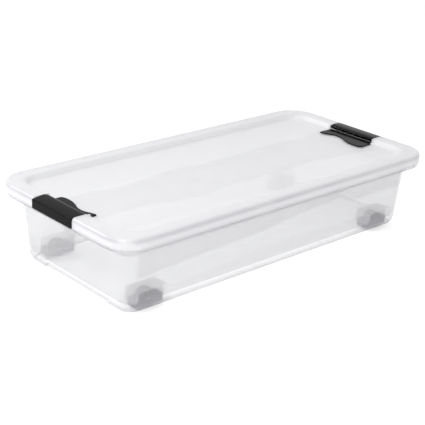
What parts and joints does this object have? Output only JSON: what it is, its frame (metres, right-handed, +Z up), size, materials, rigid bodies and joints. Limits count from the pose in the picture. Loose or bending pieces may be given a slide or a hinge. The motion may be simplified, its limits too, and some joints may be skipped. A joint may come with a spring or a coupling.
{
  "type": "under bed storage box",
  "caption": "Long, low clear plastic storage box on rollers, with a recessed milky lid held by a black hinged clip at each short end.",
  "frame": {"origin": "on the ground, under the middle of the box: the bottom centre of its bounding box", "axes": "+X along the box from the left clip to the right clip, +Y from the front long side to the back long side, +Z up"},
  "size_m": [0.798, 0.395, 0.1615],
  "materials": {
    "clear_plastic": "clear, slightly hazy moulded polypropylene, glossy",
    "milky_plastic": "milky translucent moulded polypropylene, satin gloss",
    "black_plastic": "black moulded plastic, glossy",
    "roller_plastic": "dark grey moulded plastic, satin",
    "grey_plastic": "mid grey moulded plastic, satin",
    "pin_steel": "plain drawn steel"
  },
  "bodies": {
    "tub": {"tub": "clear_plastic", "wheel_carrier_front_left": "grey_plastic", "wheel_carrier_back_left": "grey_plastic", "wheel_carrier_front_right": "grey_plastic", "wheel_carrier_back_right": "grey_plastic", "axle_pin_front_left": "pin_steel", "axle_pin_back_left": "pin_steel", "axle_pin_front_right": "pin_steel", "axle_pin_back_right": "pin_steel"},
    "lid": {"lid": "milky_plastic", "clip_plate_left": "black_plastic", "clip_plate_right": "black_plastic"},
    "clip_left": {"clip_left": "black_plastic"},
    "clip_right": {"clip_right": "black_plastic"},
    "wheel_front_left": {"wheel_front_left": "roller_plastic"},
    "wheel_back_left": {"wheel_back_left": "roller_plastic"},
    "wheel_front_right": {"wheel_front_right": "roller_plastic"},
    "wheel_back_right": {"wheel_back_right": "roller_plastic"}
  },
  "joints": [
    {"name": "lid_lift", "type": "slide", "parent": "tub", "child": "lid", "axis": [0, 0, 1], "range_m": [0, 0.25]},
    {"name": "clip_left_hinge", "type": "hinge", "parent": "lid", "child": "clip_left", "pos_m": [-0.3675, 0, 0.1562], "axis": [0, 1, 0], "range_deg": [0, 100]},
    {"name": "clip_right_hinge", "type": "hinge", "parent": "lid", "child": "clip_right", "pos_m": [0.3675, 0, 0.1562], "axis": [0, -1, 0], "range_deg": [0, 100]},
    {"name": "wheel_front_left_spin", "type": "hinge", "parent": "tub", "child": "wheel_front_left", "pos_m": [-0.3005, -0.134, 0.017], "axis": [0, 1, 0], "continuous": true},
    {"name": "wheel_back_left_spin", "type": "hinge", "parent": "tub", "child": "wheel_back_left", "pos_m": [-0.3005, 0.134, 0.017], "axis": [0, 1, 0], "continuous": true},
    {"name": "wheel_front_right_spin", "type": "hinge", "parent": "tub", "child": "wheel_front_right", "pos_m": [0.3005, -0.134, 0.017], "axis": [0, 1, 0], "continuous": true},
    {"name": "wheel_back_right_spin", "type": "hinge", "parent": "tub", "child": "wheel_back_right", "pos_m": [0.3005, 0.134, 0.017], "axis": [0, 1, 0], "continuous": true}
  ]
}
